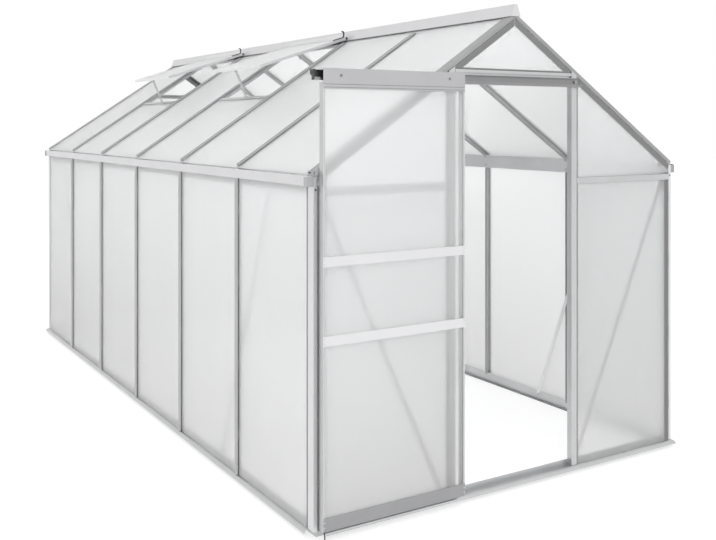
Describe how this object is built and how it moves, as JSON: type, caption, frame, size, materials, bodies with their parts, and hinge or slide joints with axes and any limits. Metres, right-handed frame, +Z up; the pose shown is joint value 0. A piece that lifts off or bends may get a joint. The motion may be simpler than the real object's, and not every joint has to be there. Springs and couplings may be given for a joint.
{
  "type": "polycarbonate greenhouse",
  "caption": "Walk-in garden greenhouse of aluminium extrusions and twin-wall polycarbonate, with a sliding gable door and propped roof vents.",
  "frame": {"origin": "on the ground, under the middle of the outer box", "axes": "+X to the right seen from the door gable, +Y from the door gable to the back gable, +Z up"},
  "size_m": [1.94, 3.863, 1.9654],
  "materials": {
    "aluminium": "mill-finish extruded aluminium, satin with fine drawn lines",
    "polycarbonate": "milky translucent 4 mm twin-wall sheet with fine upright flutes",
    "black_plastic": "moulded black plastic",
    "grey_plastic": "moulded mid-grey plastic"
  },
  "bodies": {
    "greenhouse": {"front_sill": "aluminium", "back_sill": "aluminium", "left_sill": "aluminium", "right_sill": "aluminium", "front_left_corner_post": "aluminium", "front_right_corner_post": "aluminium", "back_left_corner_post": "aluminium", "back_right_corner_post": "aluminium", "left_wall_studs": "aluminium", "right_wall_studs": "aluminium", "front_door_posts": "aluminium", "back_gable_studs": "aluminium", "left_gutter": "aluminium", "right_gutter": "aluminium", "gutter_ends": "grey_plastic", "ridge_beam": "aluminium", "left_rafters": "aluminium", "right_rafters": "aluminium", "front_gable_rafters": "aluminium", "back_gable_rafters": "aluminium", "front_gable_rails": "aluminium", "back_gable_rails": "aluminium", "door_track": "aluminium", "track_end_caps": "black_plastic", "roof_vent_sills": "aluminium", "side_wall_braces": "aluminium", "gable_braces": "aluminium", "left_wall_sheets": "polycarbonate", "right_wall_sheets": "polycarbonate", "front_gable_sheets": "polycarbonate", "back_gable_sheets": "polycarbonate", "left_roof_sheets": "polycarbonate", "right_roof_sheets": "polycarbonate", "front_vent_frame": "aluminium", "front_vent_sheet": "polycarbonate", "rear_vent_frame": "aluminium", "rear_vent_sheet": "polycarbonate", "vent_stays": "aluminium"},
    "door": {"door_stiles": "aluminium", "door_header": "aluminium", "door_upper_rail": "aluminium", "door_lower_rail": "aluminium", "door_kick_plate": "aluminium", "door_sheets": "polycarbonate", "door_rollers": "black_plastic"}
  },
  "joints": [
    {"name": "door_slide", "type": "slide", "parent": "greenhouse", "child": "door", "axis": [1, 0, 0], "range_m": [0, 0.61]}
  ]
}
